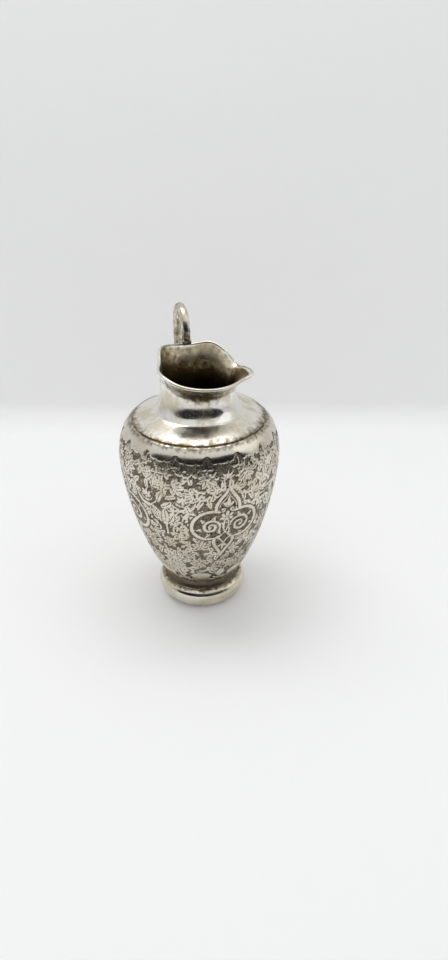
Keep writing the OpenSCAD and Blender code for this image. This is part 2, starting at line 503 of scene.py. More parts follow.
@dataclass(frozen=True)
class ChasedFinish(SilverFinish):
    """Chased silver: bright raised strokes over a ground matted with a punch and left dark, with painted
    shade in the grooves round the strokes.
    """

    matted: str = "#82796a"
    # Near black: the painted shade in the grooves round raised strokes, and the dark of cut lines and veins.
    groove: str = "#241f18"
    # A matting punch leaves marks about 0.3 mm wide. They are drawn twice as coarse so that they show.
    mat_size: float = 0.6
    mat_depth: float = 0.06
    mat_contrast: float = 1.0
    fleck_size: float = 0.9
    fleck_share: float = 0.17
    matted_roughness: float = 0.42

    def ground(
        self, tree: bpy.types.NodeTree, point: Any, colour: Any, rough: Any, height: Any
    ) -> tuple[Any, Any, Any]:
        """The dark punched ground between the strokes, and the painted shade in the grooves round
        them, from the chasing value of the mesh.

        Args:
            tree: The node tree.
            point: The place in millimetres.
            colour: The colour so far.
            rough: The roughness so far.
            height: The height so far, in millimetres.

        Returns:
            The new colour, roughness and height.
        """
        add = partial(add_node, tree)
        # The chasing value holds the chased pattern and the painted shade in its grooves.
        chased = add("Attribute", out="Fac", attribute_name="chasing")
        punch = add("TexNoise", {"Vector": point, "Scale": 1 / self.mat_size, "Detail": 3.0}, "Fac")
        marks = add("Math", (punch, self.mat_contrast, -0.5 * self.mat_contrast), **MULTIPLY_ADD)
        level = add("Math", (marks, 1.0, chased), **MULTIPLY_ADD)
        flecks = add("TexNoise", {"Vector": point, "Scale": 1 / self.fleck_size, "Detail": 3.0}, "Fac")
        flecks = add("MapRange", (flecks, 0.5, 0.66, 0.0, self.fleck_share), **EASED)
        level = add("Math", (flecks, 1.0, level), **MULTIPLY_ADD)
        # The lowest chasing values, in the grooves round raised strokes, take the groove colour: painted
        # shade.
        low = add("MapRange", (level, 0.02, 0.34, 0.0, 1.0), **EASED)
        dark = add("Mix", {0: low, 6: linear(self.groove), 7: linear(self.matted)}, 2, **COLOURS)
        raised = add("MapRange", (level, 0.36, 0.68, 0.0, 1.0), **EASED)
        colour = add("Mix", {0: raised, 6: dark, 7: colour}, 2, **COLOURS)
        sunk = add("MapRange", (raised, 0.0, 1.0, 1.0, 0.0), **EASED)
        rough = add("Math", (sunk, self.matted_roughness - self.roughness, rough), **MULTIPLY_ADD)
        dimple = add("Math", (punch, sunk), operation="MULTIPLY")
        return colour, rough, add("Math", (dimple, self.mat_depth, height), **MULTIPLY_ADD)


# ---------------------------------------------------------------- chased ornament


class Hand(Enum):
    """Which way a curl turns as it tightens."""

    LEFT = 1
    RIGHT = -1


class Tool(Enum):
    """How a stroke is chased: left standing, standing and veined, cut as a line, or matted."""

    RAISED = 0
    VEINED = 1
    CUT = 2
    MATTED = 3


@dataclass(frozen=True)
class Stroke:
    """One chased stroke: a path in millimetres, with its half width at each point."""

    path: np.ndarray
    half: np.ndarray
    tool: Tool = Tool.RAISED


@dataclass(frozen=True)
class Place:
    """Where a motif stands on the wall: direction, distance up the wall, turn, size and mirroring."""

    angle: float
    arc: float
    turn: float = 0.0
    size: float = 1.0
    mirrored: bool = False

    def put(self, path: np.ndarray) -> np.ndarray:
        """A motif's path, turned and sized for this place.

        Args:
            path: The path, in the motif's own axes.

        Returns:
            The path round the place.
        """
        x, y = path[:, 0] * (-1 if self.mirrored else 1), path[:, 1]
        c, s = math.cos(math.radians(self.turn)), math.sin(math.radians(self.turn))
        return np.stack([x * c - y * s, x * s + y * c], 1) * self.size


def leaf(base: tuple, turn: float, length: float, width: float, bend: float = 0.0) -> Stroke:
    """A pointed leaf with a vein.

    Args:
        base: Where the leaf starts.
        turn: Its direction there, in degrees from the motif's right.
        length: Its length.
        width: Its greatest width.
        bend: How far it turns from base to tip, in degrees.

    Returns:
        The stroke.
    """
    t = np.linspace(0.0, 1.0, 7)
    step = unit(turn + bend * t) * length / 6
    path = np.asarray(base, float) + np.concatenate([[[0, 0]], np.cumsum(step[:-1], axis=0)])
    half = np.maximum(width / 2 * np.sin(np.pi * t**0.85) ** 0.8, 0.04)
    tool = Tool.VEINED if width > 1.4 else Tool.RAISED
    return Stroke(path, half, tool)


def curl(centre: tuple, radius: float, start: float, turns: float, hand: Hand, width: float) -> Stroke:
    """A ribbon that winds in to a round end.

    Args:
        centre: The curl's centre.
        radius: Its outer radius.
        start: The direction of its outer end from the centre, in degrees.
        turns: How many turns it makes.
        hand: Which way it turns.
        width: The ribbon's width.

    Returns:
        The stroke.
    """
    t = np.linspace(0.0, 1.0, max(8, int(16 * turns)))
    reach = radius * (1 - 0.84 * t)
    path = np.asarray(centre, float) + unit(start + hand.value * 360.0 * turns * t) * reach[:, None]
    half = width / 2 * (0.55 + 0.45 * np.sin(np.pi * np.clip(t * 1.2, 0, 1)))
    half[-1] = width * 0.72
    return Stroke(path, half)


def ribbon(points: list, width: float, taper: float = 0.0, tool: Tool = Tool.RAISED) -> Stroke:
    """A band along one cubic curve.

    Args:
        points: The curve's ends and handles.
        width: The band's width.
        taper: How much thinner its ends are than its middle, from 0 to 1.
        tool: How it is chased.

    Returns:
        The stroke.
    """
    path = bezier(points, 12)
    t = np.linspace(0.0, 1.0, len(path))
    return Stroke(path, width / 2 * (1 - taper * (2 * t - 1) ** 2), tool)


def hoop(
    centre: tuple, radius: float, first: float, last: float, width: float, taper: float = 0.0
) -> Stroke:
    """A band along part of a circle.

    Args:
        centre: The circle's centre.
        radius: Its radius.
        first: The direction of the band's first end, in degrees.
        last: The direction of its last end.
        width: The band's width.
        taper: How much thinner its ends are than its middle, from 0 to 1.

    Returns:
        The stroke.
    """
    count = max(6, int(abs(last - first) / 14))
    path = np.asarray(centre, float) + radius * unit(np.linspace(first, last, count))
    t = np.linspace(-1.0, 1.0, count)
    return Stroke(path, width / 2 * (1 - taper * t**2))


def dot(centre: tuple, radius: float) -> Stroke:
    """A round bead."""
    x, y = centre
    return Stroke(np.array([[x - 0.01, y], [x + 0.01, y]]), np.array([radius, radius]))


def fan(
    base: tuple, turn: float, spread: float, count: int, length: float, width: float
) -> list[Stroke]:
    """Leaves that open from one point, the middle one longest.

    Args:
        base: The point they start from.
        turn: The direction of the middle leaf, in degrees.
        spread: The angle from the first leaf to the last.
        count: How many leaves.
        length: The length of the middle leaf.
        width: The width of each leaf.

    Returns:
        The strokes, outer leaves first so that the middle one lies on top.
    """
    places = sorted(np.linspace(-1.0, 1.0, count), key=lambda p: -abs(p))
    return [
        leaf(base, turn + p * spread / 2, length * (1 - 0.32 * p * p), width, p * 26)
        for p in places
    ]


def rosette(radius: float, petals: int) -> list[Stroke]:
    """A round flower with a bead in its middle.

    Args:
        radius: The flower's radius.
        petals: How many petals it has.

    Returns:
        The strokes.
    """
    width = min(1.9, 4.6 * radius / petals)
    ring = [leaf((0, 0), 360 * k / petals, radius, width) for k in range(petals)]
    return ring + [dot((0, 0), radius * 0.2)]


def cross_flower() -> list[Stroke]:
    """Four pointed petals with small leaves between them.

    Returns:
        The strokes.
    """
    small = [leaf((0, 0), 45 + 90 * k, 2.7, 0.8) for k in range(4)]
    large = [leaf((0, 0), 90 * k + 8, 4.0, 2.2) for k in range(4)]
    return small + large + [dot((0, 0), 0.6)]


def lotus() -> list[Stroke]:
    """An open flower on a short stem: broad petals, a heart, and curled leaves under it.

    Returns:
        The strokes.
    """
    petals = [leaf((0.4 * s, -1.2), 90 - s * 70, 6.6, 2.0, s * 54) for s in (-1, 1)]
    petals += [leaf((0.3 * s, -1.5), 90 - s * 26, 8.2, 2.4, -s * 24) for s in (-1, 1)]
    petals += [leaf((0.3 * s, -1.6), 90 - s * 42, 5.4, 2.2, s * 30) for s in (-1, 1)]
    petals += [leaf((0, -1.8), 90, 6.6, 2.8), dot((0, -1.6), 0.8)]
    under = [curl((3.3 * s, -4.0), 1.9, 90 - s * 60, 1.2, hand, 0.55)
             for s, hand in ((-1, Hand.LEFT), (1, Hand.RIGHT))]
    stem = [matted((0, 1.6), 5.6), ribbon([(0, -1), (0, -3), (0.4, -4.5), (0, -6.4)], 0.7)]
    return stem + under + petals


def scroll(reach: float) -> list[Stroke]:
    """A crescent scroll that holds a spray of leaves.

    Args:
        reach: The crescent's radius.

    Returns:
        The strokes.
    """
    under_rim_shade = hoop((0, 0), reach, 188, 352, 1.15, 0.75)
    inner = hoop((0, 0.5), reach * 0.66, 200, 340, 0.5, 0.6)
    return [inner, under_rim_shade, *fan((0, -0.8), 90, 110, 5, 3.3, 0.9), dot((0, -0.8), 0.45)]


def matted(centre: tuple, radius: float) -> Stroke:
    """A round patch of matted ground."""
    patch = dot(centre, radius)
    return Stroke(patch.path, patch.half, Tool.MATTED)


def medallion() -> list[Stroke]:
    """The large framed motif: an ogee arch over two round lobes, and a pointed heart below.

    Returns:
        The strokes, about 25 mm wide and 33 mm high.
    """
    fill = [matted((0, y), r) for y, r in ((8.6, 5.4), (12.6, 2.8), (-9.4, 4.6), (-13.2, 2.6))]
    fill += [matted((5.6 * s, -0.6), 7.9) for s in (-1, 1)]
    fill += [*fan((0, 7.6), 90, 70, 3, 4.6, 1.2), *fan((0, 2.4), 90, 150, 5, 3.8, 1.3)]
    fill += [dot((0, 2.2), 0.7), *fan((0, -9.8), -90, 60, 3, 4.2, 1.0)]
    frame_strokes = []
    for s, hand in ((-1, Hand.LEFT), (1, Hand.RIGHT)):
        start = 90 + s * 120
        spiral = 3.5 if s < 0 else 4.4
        eye = (5.4 * s, -1.2)
        fill += [leaf(eye, 90 + s * a, spiral + 2.0, 1.6, s * 34) for a in range(0, 360, 60)]
        fill += [matted(eye, spiral), curl(eye, spiral, start, 1.7, hand, 0.95)]
        fill += [curl((1.9 * s, 6.6), 1.3, 90 - s * 70, 1.1, hand, 0.5)]
        frame_strokes += [
            hoop((5.6 * s, -0.6), 6.6, 90 - s * 210, 90 - s * 325, 0.45, 0.3),
            hoop((5.6 * s, -0.6), 6.7, 90 + s * 22, 90 - s * 215, 1.2, 0.3),
            ribbon([(0, 16.2), (1.0 * s, 12.4), (4.6 * s, 11.2), (4.4 * s, 6.4)], 1.1),
            ribbon([(0, 13.4), (0.8 * s, 11.0), (3.0 * s, 10.0), (3.2 * s, 7.6)], 0.3),
            ribbon([(3.5 * s, -7.2), (4.4 * s, -10.6), (1.3 * s, -12.6), (0, -16.8)], 1.1),
            ribbon([(3.5 * s, -7.2), (2.4 * s, -6.4), (0.9 * s, -7.6), (0, -10.2)], 0.5),
        ]
    return fill + frame_strokes


def acanthus(length: float, hand: Hand) -> list[Stroke]:
    """A curling stalk with bending leaves along its outer side.

    Args:
        length: The stalk's length.
        hand: Which way it curls.

    Returns:
        The strokes.
    """
    side = hand.value
    t = np.linspace(0.0, 1.0, 13)
    turn = side * (-60 + 270 * t**1.4)
    step = unit(turn) * length / 12
    path = np.concatenate([[[0, 0]], np.cumsum(step[:-1], axis=0)]) - step[:6].sum(0)
    leaves = [
        leaf(tuple(path[k]), turn[k] - side * 40, length * (0.58 - 0.026 * k), 1.95, -side * 44)
        for k in (8, 5, 3, 0)
    ]
    inner = [leaf(tuple(path[k]), turn[k] + side * 60, length * 0.24, 1.0, side * 20) for k in (2, 5)]
    half = 0.5 * (1 - 0.35 * t)
    half[-1] = 0.75
    return inner + leaves + [Stroke(path, half)]


def tuft() -> list[Stroke]:
    """Small leaves that rise past the edge of the chased ground."""
    sides = [leaf((0.7 * s, -1.4), 90 - s * 62, 2.6, 0.9, s * 30) for s in (-1, 1)]
    return [*sides, *fan((0, -1.8), 90, 64, 3, 3.9, 1.0), dot((0, -1.9), 0.5)]


def hook(side: int) -> list[Stroke]:
    """A dark line cut down from the ground into the plain silver, curling at its end.

    Args:
        side: 1 or -1, for which way it curls.

    Returns:
        The strokes.
    """
    outer = [(0.2 * side, 3.0), (-0.9 * side, 1.6), (-0.9 * side, 0.2), (0.5 * side, 0.4)]
    inner = [(0.6 * side, 2.8), (0.3 * side, 2.0), (0.9 * side, 1.2), (1.3 * side, 1.5)]
    return [ribbon(points, 0.72, 0.4, Tool.CUT) for points in (outer, inner)]


@dataclass
class ChasedBand:
    """The chased part of the wall, unrolled: how bright and how deep it is at each mesh point.

    The chasing value is 1 on plain or raised silver and falls to 0 in the darkest grooves; the dark in
    the grooves round raised strokes and along the ground's edge is painted shade. depth is how far
    the surface lies below the true wall.
    """

    angle: np.ndarray
    arc: np.ndarray
    radius: np.ndarray
    ground_level: float = 0.27
    ground_depth: float = 0.2
    groove_width: float = 0.34
    groove_depth: float = 0.3
    edge: float = 0.22
    edge_cut: float = 0.09
    barb_gap: float = 1.15
    barb_slant: float = 1.1
    # How dark the painted shade in the groove round a raised stroke is.
    groove_shade: float = 0.92
    line_shade: float = 0.95
    vein_shade: float = 0.85
    vein_cut: float = 0.1
    far: float = 9.0
    chasing: np.ndarray = field(init=False)
    depth: np.ndarray = field(init=False)

    def __post_init__(self) -> None:
        """Starts with plain silver everywhere."""
        self.chasing = np.ones((len(self.arc), len(self.angle)))
        self.depth = np.zeros_like(self.chasing)

    def lay_ground(self, low: np.ndarray, high: np.ndarray) -> None:
        """Mats the ground between two edges.

        Args:
            low: The lower edge's distance up the wall, for each direction.
            high: The upper edge's, for each direction.
        """
        inside = np.minimum(self.arc[:, None] - low[None, :], high[None, :] - self.arc[:, None])
        share = smooth(inside, -self.edge / 2, self.edge / 2)
        # A darker strip just inside the ground's edge, at the foot of the step up to the plain silver:
        # painted shade.
        rim = np.clip(1 - np.abs(inside - 0.2) / self.groove_width, 0, 1)
        self.chasing = 1 - share * (1 - self.ground_level) - 0.22 * rim * share
        self.depth = share * self.ground_depth

    def draw(self, place: Place, strokes: list[Stroke]) -> None:
        """Chases a motif into the band.

        Args:
            place: Where it goes.
            strokes: Its strokes, the lowest first.
        """
        for stroke in strokes:
            self.draw_stroke(place, place.put(stroke.path), stroke.half * place.size, stroke.tool)

    def draw_stroke(self, place: Place, path: np.ndarray, half: np.ndarray, tool: Tool) -> None:
        """Chases one stroke: a sunk groove round it, darkened with painted shade, and its face at the
        wall's own height.

        Args:
            place: The place that the path is measured from.
            path: The stroke's path in millimetres.
            half: Its half width at each point.
            tool: How it is chased.
        """
        margin = half.max() + self.groove_width + 0.1
        rows = np.flatnonzero(
            (self.arc > place.arc + path[:, 1].min() - margin)
            & (self.arc < place.arc + path[:, 1].max() + margin)
        )
        if not len(rows):
            return
        rows = slice(rows[0], rows[-1] + 1)
        middle = math.degrees((path[:, 0].min() + path[:, 0].max()) / 2 / self.radius[rows].mean())
        turned = apart(self.angle, place.angle + middle)
        reach = math.degrees((np.ptp(path[:, 0]) / 2 + margin) / self.radius[rows].min()) + 3.0
        columns = np.flatnonzero(np.abs(turned) < reach)
        window = np.ix_(range(rows.start, rows.stop), columns)
        x = np.radians(apart(self.angle[columns], place.angle))[None, :] * self.radius[rows, None]
        y = np.broadcast_to((self.arc[rows] - place.arc)[:, None], x.shape)
        outside, centre = np.full(x.shape, self.far), np.full(x.shape, self.far)
        along = np.zeros(x.shape)
        travelled = arc_lengths(path)
        for k, ((ax, ay), (bx, by), wa, wb) in enumerate(zip(path, path[1:], half, half[1:])):
            dx, dy = bx - ax, by - ay
            t = np.clip(((x - ax) * dx + (y - ay) * dy) / (dx * dx + dy * dy), 0, 1)
            gap = np.hypot(x - ax - t * dx, y - ay - t * dy)
            outside = np.minimum(outside, gap - wa - t * (wb - wa))
            along = np.where(gap < centre, travelled[k] + t * math.hypot(dx, dy), along)
            centre = np.minimum(centre, gap)
        face = smooth(-outside, -self.edge / 2, self.edge / 2)
        if tool is Tool.MATTED:
            self.chasing[window] += (self.ground_level - 0.06 - self.chasing[window]) * face
            self.depth[window] += (self.ground_depth - self.depth[window]) * face
            return
        if tool is Tool.CUT:
            self.chasing[window] = np.minimum(self.chasing[window], 1 - self.line_shade * face)
            self.depth[window] = np.maximum(self.depth[window], face * self.groove_depth * 0.6)
            return
        # The groove round a raised stroke is sunk, and darkened with painted shade.
        near = 1 - smooth(outside, 0.0, self.groove_width)
        chasing = self.chasing[window] * (1 - self.groove_shade * near)
        depth = np.maximum(self.depth[window], near * self.groove_depth)
        tone = 1.0
        cut = self.edge_cut * np.exp(np.minimum(outside, 0) / 0.35)
        if tool is Tool.VEINED:
            vein = (1 - smooth(centre, 0.06, 0.28)) * smooth(-outside, 0.25, 0.5)
            barbs = np.cos(2 * np.pi * (along - self.barb_slant * centre) / self.barb_gap)
            vein = np.maximum(vein, 0.7 * smooth(barbs, 0.3, 0.95) * smooth(centre, 0.45, 0.7))
            tone = 1 - self.vein_shade * vein
            cut = cut + self.vein_cut * vein
        self.chasing[window] = chasing + (tone - chasing) * face
        self.depth[window] = depth + (cut - depth) * face

    def free(self, place: Place, reach: float) -> bool:
        """Whether the ground round a place is still bare.

        Args:
            place: The place to look at.
            reach: How far round it to look, in millimetres.

        Returns:
            True if hardly any raised silver is there.
        """
        row = np.abs(self.arc - place.arc) < reach
        radius = np.interp(place.arc, self.arc, self.radius)
        column = np.abs(apart(self.angle, place.angle)) < math.degrees(reach / radius)
        patch = self.chasing[np.ix_(row, column)]
        return patch.size > 0 and float((patch > 0.5).mean()) < 0.1


@dataclass
class ChasedPattern:
    """The jug's whole pattern: four medallions, four flower columns and small leaves between."""

    medallion_at: float = -63.0
    sectors: int = 4
    tufts: int = 16
    scallops: int = 8
    arch_half: float = 14.0
    arch_rise: float = 4.2
    narrow_half: float = 6.6
    narrow_rise: float = 6.0
    tuft_shift: float = 8.8
    scallop_shift: float = -19.8
    low_edge: float = 5.4
    high_edge: float = 60.3
    medallion_arc: float = 37.0
    filler_tries: int = 3000

    def edges(self, angle: np.ndarray) -> tuple[np.ndarray, np.ndarray]:
        """The lower and upper edges of the matted ground, as distances up the wall.

        Args:
            angle: Directions round the jug.

        Returns:
            The lower edges and the upper edges.
        """
        period = 360 / self.scallops
        away = (angle - self.medallion_at - self.scallop_shift + period / 2) % period - period / 2
        arch = np.sqrt(np.maximum(1 - (away / self.arch_half) ** 2, 0))
        between = (np.abs(away) - period / 2) / self.narrow_half
        narrow = np.sqrt(np.maximum(1 - between**2, 0))
        low = self.low_edge + self.arch_rise * arch + self.narrow_rise * narrow
        tufted = np.radians(apart(angle, self.medallion_at + self.tuft_shift) * self.tufts)
        high = self.high_edge + 1.9 * smooth(np.cos(tufted), 0.35, 1.0)
        return low, high + 0.5 * smooth(np.cos(tufted * 3), 0.2, 1)

    def hand_made(self, rng: np.random.Generator, place: Place) -> Place:
        """A place moved a little, as a hand-set motif is.

        Args:
            rng: The random numbers that move it.
            place: The true place.

        Returns:
            The moved place.
        """
        return Place(
            place.angle + rng.uniform(-0.5, 0.5),
            place.arc + rng.uniform(-0.25, 0.25),
            place.turn + rng.uniform(-3, 3),
            place.size * rng.uniform(0.95, 1.05),
            place.mirrored,
        )

    def motifs(self) -> list[tuple[float, float, float, float, bool, list[Stroke]]]:
        """One sector's motifs.

        Returns:
            For each: the direction from the medallion, the distance up the wall, the turn, the
            size, whether it is repeated in mirror image on the other side, and the strokes.
        """
        between = 360 / self.sectors / 2
        return [
            (0, 56.0, 0, 0.9, False, fan((0, -1.0), 90, 120, 5, 4.0, 1.2)),
            (0, 15.2, 180, 0.9, False, fan((0, -2.6), 90, 110, 5, 4.6, 1.2)),
            (between, 52.2, 0, 1.0, False, cross_flower()),
            (between, 38.4, 0, 1.0, False, lotus()),
            (between, 18.4, 10, 1.0, False, rosette(5.2, 10)),
            (between, 27.6, 0, 1.0, False, rosette(2.6, 7)),
            (-13.4, 55.8, 0, 1.1, True, rosette(3.4, 9)),
            (-8.8, 51.0, 210, 0.95, True, acanthus(8.0, Hand.LEFT)),
            (-20.0, 48.6, 160, 1.0, True, acanthus(9.0, Hand.RIGHT)),
            (-31.0, 47.2, 4, 1.1, True, scroll(3.8)),
            (-29.0, 56.2, 200, 0.9, True, acanthus(7.5, Hand.RIGHT)),
            (-41.0, 57.2, 30, 0.75, True, acanthus(7.0, Hand.LEFT)),
            (-33.0, 40.4, 70, 0.85, True, acanthus(8.0, Hand.RIGHT)),
            (-36.0, 31.0, 110, 0.85, True, acanthus(7.6, Hand.LEFT)),
            (-27.0, 24.8, 55, 0.95, True, acanthus(8.6, Hand.LEFT)),
            (-21.0, 16.4, 0, 1.1, True, rosette(3.0, 8)),
            (-11.0, 22.2, 140, 0.85, True, acanthus(7.6, Hand.RIGHT)),
            (-40.0, 22.6, 120, 0.7, True, acanthus(7.4, Hand.RIGHT)),
        ]

    def chase(self, band: ChasedBand) -> None:
        """Chases the whole pattern into a band.

        Args:
            band: The band, still plain.
        """
        rng = np.random.default_rng(SEED)
        band.lay_ground(*self.edges(band.angle))
        for sector in range(self.sectors):
            axis = self.medallion_at + sector * 360 / self.sectors
            for away, arc, turn, size, paired, strokes in reversed(self.motifs()):
                for flip in (False, True) if paired else (False,):
                    side = -1 if flip else 1
                    place = Place(axis + away * side, arc, turn * side, size, flip)
                    band.draw(self.hand_made(rng, place), strokes)
        self.fill(band, rng)
        for sector in range(self.sectors):
            place = Place(self.medallion_at + sector * 360 / self.sectors, self.medallion_arc)
            band.draw(self.hand_made(rng, place), medallion())
        for k in range(self.tufts):
            turn = k * 360 / self.tufts
            height = self.high_edge + rng.uniform(-0.7, 0.5)
            place = Place(self.medallion_at + self.tuft_shift + turn + rng.uniform(-2, 2), height)
            band.draw(self.hand_made(rng, place), tuft())
        for k in range(self.scallops):
            middle = self.medallion_at + self.scallop_shift + k * 360 / self.scallops
            for side in (-1, 1):
                spot = Place(middle + (self.arch_half + 1.0) * side, self.low_edge - 1.6, 0, 1.35)
                band.draw(spot, hook(side))

    def fill(self, band: ChasedBand, rng: np.random.Generator) -> None:
        """Fills the bare ground with small leaves and curls.

        Args:
            band: The band with its main motifs.
            rng: The random numbers that place and choose them.
        """
        kinds = (
            acanthus(8.0, Hand.LEFT),
            acanthus(8.0, Hand.RIGHT),
            fan((0, -1.9), 90, 130, 5, 4.2, 1.6),
            [*fan((-0.4, 0.2), 200, 100, 3, 2.8, 1.2), curl((0.6, 0), 1.7, 0, 1.2, Hand.LEFT, 0.7)],
            [leaf((-1.9, 0.3), -20, 3.9, 1.8, 44)],
        )
        for reach, first in ((2.6, 0), (2.0, 2), (1.4, 3)):
            for _ in range(self.filler_tries):
                arc = rng.uniform(self.low_edge + 2.5, self.high_edge - 0.4)
                place = Place(rng.uniform(0, 360), arc, rng.uniform(0, 360), reach / 2.0)
                kind = kinds[rng.integers(first, len(kinds))]
                if band.free(place, reach * 0.8):
                    band.draw(place, kind)


# ---------------------------------------------------------------- the jug's pieces


@dataclass
class Piece:
    """A piece of the jug: the sizes it shares with the rest, and how it joins the frame."""

    sizes: JugSizes
    collar_r: float = 14.1
    collar_w: float = 1.2
    leg_r: float = 15.9

    def place(self, made: bpy.types.Object, finish: SilverFinish, slot: str, *nodes: str) -> None:
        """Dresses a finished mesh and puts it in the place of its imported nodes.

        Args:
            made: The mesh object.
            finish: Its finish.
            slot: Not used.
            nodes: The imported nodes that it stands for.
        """
        made.data.materials.append(finish.material())
        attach(made, "root")
        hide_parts(*nodes)
        LOG.info("%s: %d points, %s", made.name, len(made.data.vertices), finish.name)


@dataclass
class ChasedBody(Piece):
    """The raised body: its wall from the collar on the foot up to the ledge under the shoulder."""

    belly_z: float = 60.0
    waist_r: float = 13.2
    waist_z: float = 11.4
    waist_slant: float = 45.0
    waist_pull: float = 10.6
    belly_pull: float = 13.1
    crown_pull: float = 6.4
    top_lean: tuple = (1.6, 2.1)
    ledge: float = 0.6
    sheet: float = 0.8
    hammer_depth: float = 0.07
    # How dark the waist is: painted dark reflection in the cove, over tarnish at the joint.
    waist_tarnish_and_reflection: float = 0.7
    seam_stain: float = 0.55
    collar_h: float = 0.5
    floor_z: float = 10.0
    columns: int = 512
    rows: int = 172
    inner_columns: int = 64

    def wall(self) -> np.ndarray:
        """The outside of the wall from the waist to the ledge, at even steps.

        Returns:
            The radius and height of each step.
        """
        s = self.sizes
        slant = math.radians(self.waist_slant)
        foot = np.array([self.waist_r, self.waist_z])
        low = bezier([foot, foot + self.waist_pull * np.array([math.sin(slant), math.cos(slant)]),
                      (s.belly_r, self.belly_z - self.belly_pull), (s.belly_r, self.belly_z)], 160)
        high = bezier([(s.belly_r, self.belly_z), (s.belly_r, self.belly_z + self.crown_pull),
                       (s.belly_r - self.top_lean[0], s.seam_z - self.top_lean[1]),
                       (s.seam_r + self.ledge, s.seam_z)], 80)
        return evenly_spaced(np.concatenate([low, high[1:]]), self.rows)

    def cove(self) -> np.ndarray:
        """The hollow between the collar on the foot and the waist.

        Returns:
            The radius and height of each step.
        """
        s = self.sizes
        base = s.foot_h + self.collar_h
        return bezier([(self.collar_r, base), (self.collar_r - 0.6, base + self.collar_h),
                       (self.waist_r, self.waist_z - 1), (self.waist_r, self.waist_z)], 8)

    def make(self) -> None:
        """Builds the chased wall, the plain inside and the floor as one closed mesh."""
        s = self.sizes
        wall = self.wall()
        angle = directions(self.columns)
        band = ChasedBand(angle, arc_lengths(wall), wall[:, 0])
        ChasedPattern().chase(band)
        way = headings(wall)
        uneven = ripple(angle[None, :], wall[:, 1][:, None], self.hammer_depth, 5)
        plain = smooth(wall[:, 1], self.waist_z, self.waist_z + 4)
        plain *= 1 - smooth(wall[:, 1], s.seam_z - 1.5, s.seam_z)
        depth = band.depth + uneven * plain[:, None]
        mesh = RingMesh()
        under = [mesh.ring(lathe_ring(r, z, self.inner_columns)) for r, z in (
            (self.collar_r - self.collar_w, self.floor_z),
            (self.collar_r - self.collar_w, s.foot_h))]
        outer = [mesh.ring(lathe_ring(self.collar_r, s.foot_h, self.columns), chasing=1.0)]
        for r, z in self.cove()[:-1]:
            ring = lathe_ring(r, z, self.columns)
            # The cove is dark: painted dark reflection over tarnish at the joint.
            outer.append(mesh.ring(ring, chasing=1.0, tarnish=0.8, pits=0.2))
        for k, (r, z) in enumerate(wall):
            radius = r - depth[k] * way[k, 1]
            height = z + depth[k] * way[k, 0]
            # Dark low on the waist: painted dark reflection in the cove, over tarnish at the joint. The seam
            # stain is tarnish.
            darkening = self.waist_tarnish_and_reflection * hill(z, self.waist_z - 1.2, 1.0)
            darkening += self.seam_stain * hill(z, s.seam_z, 1.5)
            ring = lathe_ring(radius, height, self.columns)
            outer.append(mesh.ring(ring, chasing=band.chasing[k], tarnish=darkening, pits=0.6 * darkening))
        lip = s.seam_r - self.sheet - 0.2
        outer.append(mesh.ring(lathe_ring(lip, s.seam_z, self.columns), chasing=1.0, tarnish=0.6))
        inside = moved_left(evenly_spaced(wall, 40), self.sheet)
        inside = inside[inside[:, 1] < s.seam_z - self.sheet / 2][::-1]
        inner = [mesh.ring(lathe_ring(r, z, self.inner_columns), chasing=1.0, tarnish=0.75, pits=0.3)
                 for r, z in inside]
        bottom = mesh.ring(lathe_ring(self.waist_r - 2, self.floor_z + self.sheet, self.inner_columns),
                           chasing=1.0, tarnish=0.8)
        mesh.solid(under + outer + inner + [bottom])
        finish = ChasedFinish(
            # Silver sheet, raised and chased: worn bright on the strokes, dark in the matting, with painted
            # shade in the grooves round the strokes and painted dark reflection in the cove at the waist.
            name="chased silver sheet, raised and punched", tarnish="#635a4c",
            silver="#dfd9cb", film="#c8bda5", film_share=0.6, roughness=0.15, dull_roughness=0.3,
        )
        self.place(mesh.build("chased_body", 75.0), finish, "chased_silver", "body_vessel")


